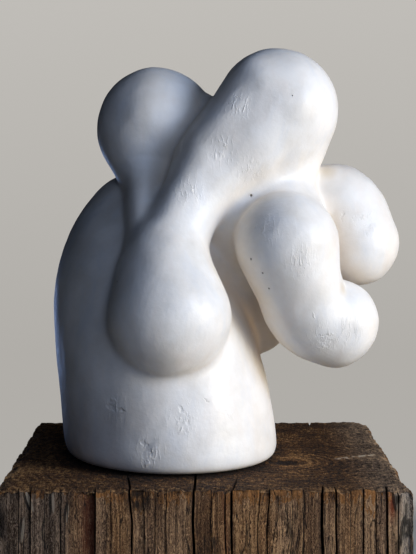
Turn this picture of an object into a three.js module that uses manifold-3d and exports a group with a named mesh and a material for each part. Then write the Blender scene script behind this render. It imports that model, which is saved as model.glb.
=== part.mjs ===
// Abstract head sculpture: one plaster figure of swelling lobes, standing on an upright block of old timber.
// Millimetres. X runs to the viewer's right, Y away from the viewer and Z up.
// The origin is the centre of the timber's underside.
import * as THREE from "three";
import Module from "manifold-3d";

const wasm = await Module();
wasm.setup();
const { Manifold } = wasm;

// Driving dimensions
const figureHeight = 346;
const plinthWidth = 324;
const plinthDepth = 324;
const plinthHeight = 160;
const cornerWear = 14;
const arrisWear = 5;
const arrisDrop = 4;
const restClearance = 0.3;

// The timber's drying splits: the widest mouth and the deepest reach. Each split below gives its share
// of the face's width from the left, and its shares of that mouth and reach.
const splitMouth = 3.6;
const splitReach = 104;
const frontSplits = [
  { at: 0.085, mouth: 0.61, reach: 0.23 },
  { at: 0.332, mouth: 0.83, reach: 0.67 },
  { at: 0.482, mouth: 1, reach: 1 },
  { at: 0.573, mouth: 0.78, reach: 0.6 },
  { at: 0.791, mouth: 0.83, reach: 0.44 },
  { at: 0.825, mouth: 0.61, reach: 0.34 },
  { at: 0.945, mouth: 0.67, reach: 0.21 },
];
const rightSplits = [
  { at: 0.22, mouth: 0.67, reach: 0.33 },
  { at: 0.55, mouth: 0.89, reach: 0.71 },
  { at: 0.83, mouth: 0.67, reach: 0.29 },
];
const backSplits = [
  { at: 0.17, mouth: 0.67, reach: 0.29 },
  { at: 0.44, mouth: 0.94, reach: 0.83 },
  { at: 0.72, mouth: 0.78, reach: 0.46 },
];
const leftSplits = [
  { at: 0.3, mouth: 0.72, reach: 0.4 },
  { at: 0.62, mouth: 0.89, reach: 0.63 },
];

// Mesh fineness, as a share of the figure's height, and how far smoothing may move its skin
const meshStep = figureHeight * 0.026;
const skinTolerance = figureHeight * 0.0018;
const levelTolerance = figureHeight * 0.0002;

// Each lobe is a row of balls on one smooth curve, and each station gives a ball's x, y, z and radius.
// The fillet is how softly the lobe runs into the ones before it.
const footRounding = 23;
const trunkTurn = THREE.MathUtils.degToRad(12);
const trunkSlimming = 1.17;
const lobes = [
  {
    name: "trunk",
    fillet: 0,
    slimAlong: [Math.cos(trunkTurn), Math.sin(trunkTurn)],
    stations: [
      [-27, -13, -30, 106.5],
      [-27, -13, 0, 106],
      [-35, -8, 60, 102.2],
      [-44.7, 0, 100, 96.8],
      [-50, 9, 139, 90],
      [-52, 17, 170.5, 71.6],
      [-51, 22, 194.5, 49.9],
    ],
  },
  {
    name: "upper_left_lobe",
    fillet: 8,
    stations: [
      [8, -8, 279, 25],
      [-15, 2, 289, 28.5],
      [-35.5, 4, 283.2, 46.7],
      [-43.5, 4, 279.5, 47.5],
      [-46.5, -8, 253, 31],
      [-46, -28, 231, 21],
      [-45, -50, 208, 19],
      [-43.5, -66, 184, 20.5],
    ],
  },
  {
    name: "arm_and_hanging_lobe",
    fillet: 9,
    stations: [
      [63, -22, 294.5, 51.5],
      [38, -31, 270, 44.5],
      [13, -40, 249, 37.5],
      [-6, -54, 221, 29],
      [-22, -68, 190, 29.5],
      [-29.5, -78, 164, 38.5],
      [-26.5, -88, 125.5, 50.5],
    ],
  },
  {
    name: "arm_shoulder",
    fillet: 8,
    stations: [
      [49.5, -40, 309.5, 29.5],
      [26.5, -46.5, 283, 25.5],
      [5, -54, 260, 21],
      [-12, -66, 228, 16.5],
      [-25, -80, 200, 14],
    ],
  },
  {
    name: "stem",
    fillet: 14,
    stations: [
      [62, -8, 268, 43],
      [44, -20, 212, 39],
    ],
  },
  {
    name: "front_right_root",
    fillet: 16,
    stations: [
      [64, -8, 228, 31],
      [70, -42, 196, 36],
    ],
  },
  {
    name: "back_right_lobe",
    fillet: 7,
    stations: [
      [80, 10, 206, 34],
      [118, 12, 213, 35.5],
      [134, 6, 181, 36.5],
    ],
  },
  {
    name: "front_right_lobe",
    fillet: 5,
    stations: [
      [69, -60, 184, 43],
      [78, -59, 153, 36.5],
      [90.5, -49, 126, 37],
      [111, -40, 115.5, 37],
    ],
  },
  {
    name: "rear_hanging_lobe",
    fillet: 16,
    stations: [
      [30, -14, 206, 41],
      [37, 4, 157, 35],
      [46.5, 24, 112, 28.5],
    ],
  },
];

// The stations draw the figure at the height of their highest ball, and it is scaled from there.
const drawnTop = Math.max(...lobes.flatMap((lobe) => lobe.stations.map(([, , z, r]) => z + r)));
const figureScale = figureHeight / drawnTop;

// Balls along a curve
const stepsPerSpan = 6;
const steepestSlope = 0.98;

// A point on the smooth curve from b to c, with a and d as the stations on either side.
function curvePoint(a, b, c, d, t) {
  return b.map((value, i) => {
    const linear = c[i] - a[i];
    const square = 2 * a[i] - 5 * value + 4 * c[i] - d[i];
    const cube = 3 * value - a[i] - 3 * c[i] + d[i];
    return 0.5 * (2 * value + linear * t + square * t * t + cube * t * t * t);
  });
}

// The station past an end of a row, straight on from its last two.
function beyond(last, previous) {
  return last.map((value, i) => 2 * value - previous[i]);
}

function ballsAlong(stations) {
  const first = beyond(stations[0], stations[1]);
  const last = beyond(stations.at(-1), stations.at(-2));
  const row = [first, ...stations, last];
  const balls = [];
  for (let span = 0; span < stations.length - 1; span += 1) {
    for (let step = 0; step < stepsPerSpan; step += 1) {
      balls.push(curvePoint(row[span], row[span + 1], row[span + 2], row[span + 3], step / stepsPerSpan));
    }
  }
  balls.push(stations.at(-1));
  return balls;
}

// The cone that wraps two neighbouring balls, ready for measuring distances to its skin.
function coneBetween(a, b) {
  const length = Math.hypot(b[0] - a[0], b[1] - a[1], b[2] - a[2]);
  const slope = THREE.MathUtils.clamp((b[3] - a[3]) / length, -steepestSlope, steepestSlope);
  return {
    from: a,
    along: [(b[0] - a[0]) / length, (b[1] - a[1]) / length, (b[2] - a[2]) / length],
    length,
    slope,
    lean: slope / Math.sqrt(1 - slope * slope),
  };
}

function distanceToCone(cone, x, y, z) {
  const dx = x - cone.from[0];
  const dy = y - cone.from[1];
  const dz = z - cone.from[2];
  const along = dx * cone.along[0] + dy * cone.along[1] + dz * cone.along[2];
  const across = Math.sqrt(Math.max(dx * dx + dy * dy + dz * dz - along * along, 0));
  const foot = THREE.MathUtils.clamp(along + across * cone.lean, 0, cone.length);
  return Math.hypot(across, along - foot) - (cone.from[3] + cone.slope * foot);
}

// A point moved so that an oval trunk measures as a round one.
function slimmed(lobe, x, y) {
  if (!lobe.slimAlong) {
    return [x, y];
  }
  const [ux, uy] = lobe.slimAlong;
  const stretch = (trunkSlimming - 1) * (x * ux + y * uy);
  return [x + stretch * ux, y + stretch * uy];
}

function conesOf(lobe) {
  const balls = ballsAlong(lobe.stations).map(([x, y, z, r]) => [...slimmed(lobe, x, y), z, r]);
  return balls.slice(1).map((ball, i) => coneBetween(balls[i], ball));
}

const modelled = lobes.map((lobe) => ({ ...lobe, cones: conesOf(lobe) }));

// The smaller of two distances, with the crease between them filled over the given width.
function blended(a, b, width) {
  if (width <= 0) {
    return Math.min(a, b);
  }
  const overlap = Math.max(width - Math.abs(a - b), 0) / width;
  return Math.min(a, b) - (width * overlap ** 3) / 6;
}

// Distance from a point to the figure's skin in the drawing's own millimetres, below zero inside.
function figureDistance(x, y, z) {
  let distance = Infinity;
  for (const lobe of modelled) {
    const [sx, sy] = slimmed(lobe, x, y);
    let nearest = Infinity;
    for (const cone of lobe.cones) {
      nearest = Math.min(nearest, distanceToCone(cone, sx, sy, z));
    }
    distance = blended(distance, nearest, lobe.fillet);
  }
  return -blended(-distance, z, footRounding);
}

// A box around all the balls, in the drawing's millimetres.
function drawnBounds() {
  const room = 8;
  const balls = lobes.flatMap((lobe) => lobe.stations);
  const low = [0, 1, 2].map((i) => Math.min(...balls.map((ball) => ball[i] - ball[3])) - room);
  const high = [0, 1, 2].map((i) => Math.max(...balls.map((ball) => ball[i] + ball[3])) + room);
  return { min: [low[0], low[1], -room], max: high };
}

// The largest closed skin of a solid, which leaves out any air pocket pinched off deep in a crease.
function outerSkin(solid) {
  return solid.decompose().reduce((most, shell) => (shell.volume() > most.volume() ? shell : most));
}

function figureSolid() {
  const drawn = drawnBounds();
  const bounds = {
    min: drawn.min.map((value) => value * figureScale),
    max: drawn.max.map((value) => value * figureScale),
  };
  const inside = ([x, y, z]) => {
    const distance = figureDistance(x / figureScale, y / figureScale, z / figureScale);
    return -distance * figureScale;
  };
  const skin = Manifold.levelSet(inside, bounds, meshStep, 0, levelTolerance);
  const footLift = levelTolerance * 2;
  const trimmed = outerSkin(skin).trimByPlane([0, 0, 1], footLift).simplify(skinTolerance);
  return outerSkin(trimmed).translate([0, 0, plinthHeight + restClearance - footLift]);
}

// The timber block
// Outline of the block, its four corners worn off by differing amounts, anticlockwise from the front left.
function blockOutline(inset) {
  const halfWidth = plinthWidth / 2 - inset;
  const halfDepth = plinthDepth / 2 - inset;
  const corners = [
    { sx: -1, sy: -1, wear: cornerWear * 0.5, first: "y" },
    { sx: 1, sy: -1, wear: cornerWear * 0.35, first: "x" },
    { sx: 1, sy: 1, wear: cornerWear, first: "y" },
    { sx: -1, sy: 1, wear: cornerWear, first: "x" },
  ];
  return corners.flatMap(({ sx, sy, wear, first }) => {
    const onSide = [sx * halfWidth, sy * (halfDepth - wear)];
    const onFace = [sx * (halfWidth - wear), sy * halfDepth];
    const middle = [sx * (halfWidth - wear * 0.3), sy * (halfDepth - wear * 0.3)];
    return first === "y" ? [onSide, middle, onFace] : [onFace, middle, onSide];
  });
}

function ring(inset, z) {
  return blockOutline(inset).map(([x, y]) => [x, y, z]);
}

// One split, drawn at the front face and turned to its own side of the block.
function splitWedge(split, turn, faceWidth, faceDistance) {
  const overrun = 2;
  const mouth = split.mouth * splitMouth;
  const depth = split.reach * splitReach;
  const x = (split.at - 0.5) * faceWidth;
  const y = -faceDistance;
  const outline = [
    [x - mouth / 2, y - overrun],
    [x + mouth / 2, y - overrun],
    [x + mouth / 2, y],
    [x, y + depth],
    [x - mouth / 2, y],
  ];
  return Manifold.extrude([outline], plinthHeight + 2 * overrun)
    .translate([0, 0, -overrun])
    .rotate([0, 0, turn]);
}

function plinthSolid() {
  const block = Manifold.hull([
    ...ring(0, 0),
    ...ring(0, plinthHeight - arrisWear),
    ...ring(arrisDrop * 0.35, plinthHeight - arrisWear * 0.35),
    ...ring(arrisDrop, plinthHeight),
  ]);
  const wedges = [
    ...frontSplits.map((split) => splitWedge(split, 0, plinthWidth, plinthDepth / 2)),
    ...rightSplits.map((split) => splitWedge(split, 90, plinthDepth, plinthWidth / 2)),
    ...backSplits.map((split) => splitWedge(split, 180, plinthWidth, plinthDepth / 2)),
    ...leftSplits.map((split) => splitWedge(split, 270, plinthDepth, plinthWidth / 2)),
  ];
  return block.subtract(Manifold.union(wedges));
}

// Meshes
function geometryOf(solid) {
  const mesh = solid.getMesh();
  const positions = new Float32Array(mesh.numVert * 3);
  for (let i = 0; i < mesh.numVert; i += 1) {
    positions.set(mesh.vertProperties.subarray(i * mesh.numProp, i * mesh.numProp + 3), i * 3);
  }
  const geometry = new THREE.BufferGeometry();
  geometry.setAttribute("position", new THREE.BufferAttribute(positions, 3));
  geometry.setIndex(new THREE.BufferAttribute(new Uint32Array(mesh.triVerts), 1));
  geometry.computeVertexNormals();
  return geometry;
}

function namedMesh(name, solid, color, roughness) {
  const material = new THREE.MeshStandardMaterial({ color, roughness, metalness: 0 });
  const mesh = new THREE.Mesh(geometryOf(solid), material);
  mesh.name = name;
  return mesh;
}

const sculpture = new THREE.Group();
sculpture.name = "head_sculpture";
sculpture.add(namedMesh("plaster_figure", figureSolid(), 0xe9e7e3, 0.6));
sculpture.add(namedMesh("timber_plinth", plinthSolid(), 0x4a382b, 0.9));

export default sculpture;
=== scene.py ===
"""Abstract plaster head on an upright block of old timber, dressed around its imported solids.

The two pieces are worked out in millimetres and become meshes in metres, in the frame's own place:
X to the viewer's right, Y away from the viewer and Z up, from the centre of the timber's underside.
"""
import itertools
import logging
import math
from collections.abc import Mapping, Sequence
from dataclasses import dataclass, field, replace
from enum import Enum
from typing import Any

import bpy
import numpy as np
from mathutils import Euler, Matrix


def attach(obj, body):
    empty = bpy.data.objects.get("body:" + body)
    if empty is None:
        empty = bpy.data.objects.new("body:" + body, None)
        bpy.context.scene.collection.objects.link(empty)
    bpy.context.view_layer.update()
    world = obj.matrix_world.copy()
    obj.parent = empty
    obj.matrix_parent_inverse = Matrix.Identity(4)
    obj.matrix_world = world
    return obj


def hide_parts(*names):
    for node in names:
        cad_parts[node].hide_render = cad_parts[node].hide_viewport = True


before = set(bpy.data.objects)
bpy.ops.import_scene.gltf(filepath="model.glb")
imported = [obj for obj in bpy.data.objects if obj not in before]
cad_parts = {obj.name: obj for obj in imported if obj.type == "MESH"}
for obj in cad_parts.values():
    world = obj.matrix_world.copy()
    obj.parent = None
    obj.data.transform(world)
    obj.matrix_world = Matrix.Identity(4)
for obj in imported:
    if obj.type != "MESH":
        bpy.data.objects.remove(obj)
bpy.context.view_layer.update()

LOG = logging.getLogger("head_sculpture")
MM = 0.001
PLINTH_TOP = 160.0
REST_CLEARANCE = 0.3
FIGURE_BASE = PLINTH_TOP + REST_CLEARANCE


# Numbers and noise

def linear(colour: str) -> tuple[float, float, float, float]:
    """Turns an sRGB hex colour into linear light.

    Args:
        colour: Six hex digits after a hash.

    Returns:
        Red, green, blue and an alpha of 1.
    """
    parts = [int(colour[i:i + 2], 16) / 255 for i in (1, 3, 5)]
    light = [part / 12.92 if part <= 0.04045 else ((part + 0.055) / 1.055) ** 2.4 for part in parts]
    return (light[0], light[1], light[2], 1.0)


def smooth_step(low: float, high: float, value: np.ndarray) -> np.ndarray:
    """An S-shaped rise, 3t squared less 2t cubed, from 0 at low to 1 at high."""
    t = np.clip((value - low) / (high - low), 0.0, 1.0)
    return t * t * (3 - 2 * t)


def hashed(cells: np.ndarray, seed: int) -> np.ndarray:
    """A fixed random number for each whole-number cell, by multiplying and folding its bits.

    Args:
        cells: Whole numbers, one row of coordinates a cell.
        seed: Picks another set of numbers.

    Returns:
        One number from -1 to 1 a cell.
    """
    key = np.full(cells.shape[:-1], seed * 7919 + 12345, dtype=np.uint64)
    for axis in range(cells.shape[-1]):
        key = key ^ (cells[..., axis].astype(np.int64).view(np.uint64) + np.uint64(0x9E3779B97F4A7C15))
        key = key * np.uint64(0xFF51AFD7ED558CCD)
        key = key ^ (key >> np.uint64(31))
        key = key * np.uint64(0xC4CEB9FE1A85EC53)
        key = key ^ (key >> np.uint64(29))
    return (key >> np.uint64(11)).astype(np.float64) / 2.0 ** 52 - 1.0


def noise(points: np.ndarray, sizes: float | Sequence[float], seed: int) -> np.ndarray:
    """Smooth noise: random values at lattice corners, eased between by 6t^5 - 15t^4 + 10t^3.

    Args:
        points: Places in millimetres, one row of coordinates each.
        sizes: Lattice spacing in millimetres, one for all axes or one for each.
        seed: Picks another noise.

    Returns:
        One value from -1 to 1 a point.
    """
    scaled = points / np.asarray(sizes, dtype=np.float64)
    base = np.floor(scaled)
    part = scaled - base
    ease = part ** 3 * (part * (part * 6 - 15) + 10)
    total = np.zeros(points.shape[:-1])
    for corner in itertools.product((0, 1), repeat=points.shape[-1]):
        share = np.prod(np.where(np.array(corner) == 1, ease, 1 - ease), axis=-1)
        total += share * hashed(base + np.array(corner), seed)
    return total


def turned(points: np.ndarray, degrees: float) -> np.ndarray:
    """Points turned about the vertical through the origin."""
    angle = math.radians(degrees)
    out = points.copy()
    out[..., 0] = points[..., 0] * math.cos(angle) - points[..., 1] * math.sin(angle)
    out[..., 1] = points[..., 0] * math.sin(angle) + points[..., 1] * math.cos(angle)
    return out


# Materials and meshes

# Inputs of a mix of two colours: how much of the second, the colour beneath and the colour laid over it
SHARE, UNDER, OVER = 0, 6, 7


def add_node(tree: bpy.types.NodeTree, kind: str, settings: Mapping[Any, Any] | None = None,
             links: Mapping[Any, Any] | None = None) -> bpy.types.Node:
    """Adds one shader node.

    Args:
        tree: The node tree.
        kind: Blender's name for the kind of node, less the ShaderNode that it starts with.
        settings: Values by input, or by the node's own property where no input has that name.
        links: What feeds each input: an output socket, or a node for the first output that it offers.

    Returns:
        The new node.
    """
    node = tree.nodes.new("ShaderNode" + kind)
    for key, value in (settings or {}).items():
        if isinstance(key, str) and hasattr(node, key) and key not in node.inputs:
            setattr(node, key, value)
        else:
            node.inputs[key].default_value = value
    for key, source in (links or {}).items():
        if isinstance(source, bpy.types.Node):
            source = next(output for output in source.outputs if output.enabled)
        tree.links.new(source, node.inputs[key])
    return node


def stored(tree: bpy.types.NodeTree, *names: str) -> list[bpy.types.NodeSocket]:
    """Sockets that read the numbers stored on the piece under these names."""
    return [add_node(tree, "Attribute", {"attribute_name": name}).outputs["Fac"] for name in names]


def blank_material(name: str) -> tuple[bpy.types.Material, bpy.types.NodeTree]:
    """A new material with an empty node tree."""
    material = bpy.data.materials.new(name)
    material.use_nodes = True
    material.node_tree.nodes.clear()
    return material, material.node_tree


def mesh_object(name: str, points: np.ndarray, faces: list[list[int]],
                materials: Sequence[bpy.types.Material]) -> bpy.types.Object:
    """Makes an object at the origin from points in millimetres.

    Args:
        name: Name of the piece.
        points: Corners, one row each.
        faces: Corner numbers of each face, turning left seen from outside.
        materials: Its materials, in the order of their slots.

    Returns:
        The object, linked to the scene.
    """
    mesh = bpy.data.meshes.new(name)
    mesh.from_pydata((points * MM).tolist(), [], faces)
    for material in materials:
        mesh.materials.append(material)
    mesh.update()
    piece = bpy.data.objects.new(name, mesh)
    bpy.context.collection.objects.link(piece)
    return piece


def add_values(mesh: bpy.types.Mesh, name: str, values: np.ndarray) -> None:
    """Stores one number for each corner point, for a material to read by name."""
    layer = mesh.attributes.new(name, "FLOAT", "POINT")
    layer.data.foreach_set("value", np.ascontiguousarray(values, dtype=np.float32))


# The figure

@dataclass(frozen=True)
class Lobe:
    """One swelling limb of the figure: balls along a smooth curve, wrapped by cones.

    Attributes:
        name: What the limb is.
        fillet: How softly it runs into the limbs before it, in millimetres.
        stations: x, y, z and radius of the balls, in millimetres above the timber.
        slimmed: Narrows the limb's plan across one direction.
    """

    name: str
    fillet: float
    stations: tuple[tuple[float, float, float, float], ...]
    slimmed: bool = False

    def measured(self, points: np.ndarray) -> np.ndarray:
        """Points moved so that the oval trunk measures as a round one: stretched along one direction."""
        if not self.slimmed:
            return points
        direction = np.array([math.cos(TRUNK_TURN), math.sin(TRUNK_TURN), 0.0])
        stretch = (TRUNK_SLIMMING - 1) * (points @ direction)
        return points + stretch[..., None] * direction

    def balls(self) -> np.ndarray:
        """Balls along the curve, by a cubic through the stations, six to a span.

        Returns:
            x, y, z and radius, one row a ball.
        """
        row = np.array(self.stations, dtype=np.float64)
        row = np.vstack([2 * row[0] - row[1], row, 2 * row[-1] - row[-2]])
        t = (np.arange(STEPS_PER_SPAN) / STEPS_PER_SPAN)[None, :, None]
        a, b, c, d = (row[i:len(row) - 3 + i, None, :] for i in range(4))
        bend, twist = 2 * a - 5 * b + 4 * c - d, 3 * b - a - 3 * c + d
        cubic = 0.5 * (2 * b + (c - a) * t + bend * t ** 2 + twist * t ** 3)
        balls = np.vstack([cubic.reshape(-1, 4), row[-2]])
        balls[:, :3] = self.measured(balls[:, :3])
        return balls

    def distance(self, points: np.ndarray) -> np.ndarray:
        """Distance to the limb's skin: to the nearest of the cones that wrap neighbouring balls.

        Args:
            points: Places in millimetres.

        Returns:
            One distance a point, below zero inside.
        """
        moved = self.measured(points)
        balls = self.balls()
        nearest = np.full(points.shape[0], np.inf)
        for start, end in zip(balls[:-1], balls[1:]):
            length = float(np.linalg.norm(end[:3] - start[:3]))
            slope = float(np.clip((end[3] - start[3]) / length, -STEEPEST_SLOPE, STEEPEST_SLOPE))
            offset = moved - start[:3]
            along = offset @ ((end[:3] - start[:3]) / length)
            across = np.sqrt(np.maximum(np.einsum("ij,ij->i", offset, offset) - along ** 2, 0.0))
            foot = np.clip(along + across * slope / math.sqrt(1 - slope * slope), 0.0, length)
            nearest = np.minimum(nearest, np.hypot(across, along - foot) - (start[3] + slope * foot))
        return nearest


TRUNK_TURN = math.radians(12)
TRUNK_SLIMMING = 1.17
STEPS_PER_SPAN = 6
STEEPEST_SLOPE = 0.98
FOOT_ROUNDING = 23.0

LOBES = (
    Lobe("trunk", 0, ((-27, -13, -30, 106.5), (-27, -13, 0, 106), (-35, -8, 60, 102.2), (-44.7, 0, 100, 96.8),
                      (-50, 9, 139, 90), (-52, 17, 170.5, 71.6), (-51, 22, 194.5, 49.9)), slimmed=True),
    Lobe("upper left lobe", 8, ((8, -8, 279, 25), (-15, 2, 289, 28.5), (-35.5, 4, 283.2, 46.7),
                                (-43.5, 4, 279.5, 47.5), (-46.5, -8, 253, 31), (-46, -28, 231, 21),
                                (-45, -50, 208, 19), (-43.5, -66, 184, 20.5))),
    Lobe("arm and hanging lobe", 9, ((63, -22, 294.5, 51.5), (38, -31, 270, 44.5), (13, -40, 249, 37.5),
                                     (-6, -54, 221, 29), (-22, -68, 190, 29.5), (-29.5, -78, 164, 38.5),
                                     (-26.5, -88, 125.5, 50.5))),
    Lobe("arm shoulder", 8, ((49.5, -40, 309.5, 29.5), (26.5, -46.5, 283, 25.5), (5, -54, 260, 21),
                             (-12, -66, 228, 16.5), (-25, -80, 200, 14))),
    Lobe("stem", 14, ((62, -8, 268, 43), (44, -20, 212, 39))),
    Lobe("front right root", 16, ((64, -8, 228, 31), (70, -42, 196, 36))),
    Lobe("back right lobe", 7, ((80, 10, 206, 34), (118, 12, 213, 35.5), (134, 6, 181, 36.5))),
    Lobe("front right lobe", 5, ((69, -60, 184, 43), (78, -59, 153, 36.5), (90.5, -49, 126, 37),
                                 (111, -40, 115.5, 37))),
    Lobe("rear hanging lobe", 16, ((30, -14, 206, 41), (37, 4, 157, 35), (46.5, 24, 112, 28.5))),
)


def blended(a: np.ndarray, b: np.ndarray, width: float) -> np.ndarray:
    """The smaller of two distances, less a cubic bulge that fills the crease over the given width."""
    if width <= 0:
        return np.minimum(a, b)
    overlap = np.maximum(width - np.abs(a - b), 0.0) / width
    return np.minimum(a, b) - width * overlap ** 3 / 6


def figure_distance(points: np.ndarray) -> np.ndarray:
    """Distance to the figure's skin: its limbs blended one by one, then cut off softly at the foot.

    Args:
        points: Places in millimetres above the timber's top, one row each.

    Returns:
        One distance a point, below zero inside.
    """
    distance = np.full(points.shape[0], 1e9)
    for lobe in LOBES:
        distance = blended(distance, lobe.distance(points), lobe.fillet)
    return -blended(-distance, points[:, 2], FOOT_ROUNDING)


def gradient(points: np.ndarray) -> np.ndarray:
    """How the distance changes along X, Y and Z, from its difference over a fifth of a millimetre."""
    step = 0.1
    ahead = [figure_distance(points + shift) for shift in np.eye(3) * step]
    behind = [figure_distance(points - shift) for shift in np.eye(3) * step]
    return (np.stack(ahead, axis=1) - np.stack(behind, axis=1)) / (2 * step)


def settled(points: np.ndarray) -> tuple[np.ndarray, np.ndarray]:
    """Points moved onto the skin by one Newton step, and the outward directions there."""
    slope = gradient(points)
    size = np.maximum(np.einsum("ij,ij->i", slope, slope), 0.05)
    moved = points - (figure_distance(points) / size)[:, None] * slope
    return moved, slope / np.linalg.norm(slope, axis=1, keepdims=True)


def sampled_field(low: np.ndarray, cells: np.ndarray, step: float) -> np.ndarray:
    """The distance on a lattice, in full near the skin and only its sign elsewhere.

    A lattice four times coarser is measured first, and only its cells near the skin are filled in.

    Args:
        low: Lowest corner.
        cells: Whole cells along each axis, a multiple of four.
        step: Lattice spacing.

    Returns:
        Distances at the lattice points.
    """
    coarse = 4
    blocks = cells // coarse
    middles = [low[i] + (np.arange(blocks[i]) + 0.5) * step * coarse for i in range(3)]
    places = np.stack(np.meshgrid(*middles, indexing="ij"), axis=-1)
    rough = figure_distance(places.reshape(-1, 3)).reshape(blocks)
    field_values = np.kron(rough, np.ones((coarse,) * 3))
    near = np.kron(np.abs(rough) < 1.5 * coarse * step, np.ones((coarse,) * 3, dtype=bool))
    where = np.nonzero(near)
    field_values[where] = figure_distance(low + np.stack(where, axis=-1) * step)
    return field_values


def net_of(values: np.ndarray, low: np.ndarray, step: float) -> tuple[np.ndarray, np.ndarray]:
    """A net of quads round the inside of a sampled field.

    Each lattice cell that the skin passes through holds one point, the mean of where the skin cuts
    the cell's edges, and each cut edge is ringed by the four cells that share it.

    Args:
        values: Distances at the lattice points.
        low: Place of the first lattice point.
        step: Lattice spacing.

    Returns:
        The points, and four point numbers for each quad.
    """
    shape = np.array(values.shape)
    stride = np.array([shape[1] * shape[2], shape[2], 1])
    total = int(np.prod(shape))
    sums = np.zeros((total, 3))
    counts = np.zeros(total)
    rings = []
    for axis in range(3):
        b, c = (axis + 1) % 3, (axis + 2) % 3
        first = [slice(None)] * 3
        second = [slice(None)] * 3
        first[axis], second[axis] = slice(0, -1), slice(1, None)
        start, end = values[tuple(first)], values[tuple(second)]
        cut = np.stack(np.nonzero((start < 0) != (end < 0)), axis=-1)
        v0 = start[tuple(cut.T)]
        v1 = end[tuple(cut.T)]
        place = cut.astype(np.float64)
        place[:, axis] += v0 / (v0 - v1)
        own = cut @ stride
        ring = np.stack([own - stride[b] - stride[c], own - stride[c], own, own - stride[b]], axis=-1)
        for cell in ring.T:
            counts += np.bincount(cell, minlength=total)
            for i in range(3):
                sums[:, i] += np.bincount(cell, weights=place[:, i], minlength=total)
        rings.append(np.where((v0 < 0)[:, None], ring, ring[:, ::-1]))
    used = np.nonzero(counts)[0]
    number = np.full(total, -1)
    number[used] = np.arange(len(used))
    points = low + sums[used] / counts[used, None] * step
    return points, number[np.concatenate(rings)]


def largest_shell(points: np.ndarray, quads: np.ndarray) -> tuple[np.ndarray, np.ndarray]:
    """The largest joined part of a net, found by passing the lowest point number along its edges."""
    ends = np.stack([quads, np.roll(quads, -1, axis=1)], axis=-1).reshape(-1, 2)
    label = np.arange(len(points))
    while True:
        least = np.minimum(label[ends[:, 0]], label[ends[:, 1]])
        fresh = label.copy()
        np.minimum.at(fresh, ends[:, 0], least)
        np.minimum.at(fresh, ends[:, 1], least)
        fresh = fresh[fresh]
        if np.array_equal(fresh, label):
            break
        label = fresh
    kept = label == np.bincount(label).argmax()
    number = np.cumsum(kept) - 1
    return points[kept], number[quads[kept[quads[:, 0]]]]


def evened(points: np.ndarray, quads: np.ndarray, share: float) -> np.ndarray:
    """Each point moved part of the way to the mean of its neighbours."""
    ends = np.stack([quads, np.roll(quads, -1, axis=1)], axis=-1).reshape(-1, 2)
    count = np.bincount(ends[:, 0], minlength=len(points))[:, None]
    total = np.stack([np.bincount(ends[:, 0], weights=points[ends[:, 1], i], minlength=len(points))
                      for i in range(3)], axis=-1)
    return points + share * (total / count - points)


@dataclass(frozen=True)
class Mark:
    """A small round mark in millimetres: its place, up from its own piece's foot, and its radius."""

    x: float
    y: float
    z: float
    radius: float


@dataclass(frozen=True)
class Gouge:
    """A short mark of a tool in the figure's front, in millimetres.

    Attributes:
        x: Place across.
        y: Place back to front.
        z: Height above the timber.
        length: Its length.
        width: Its width.
        lean: Degrees that its top leans to the right.
        depth: How deep it is, or how proud where it is below zero.
    """

    x: float
    y: float
    z: float
    length: float
    width: float
    lean: float
    depth: float


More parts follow.
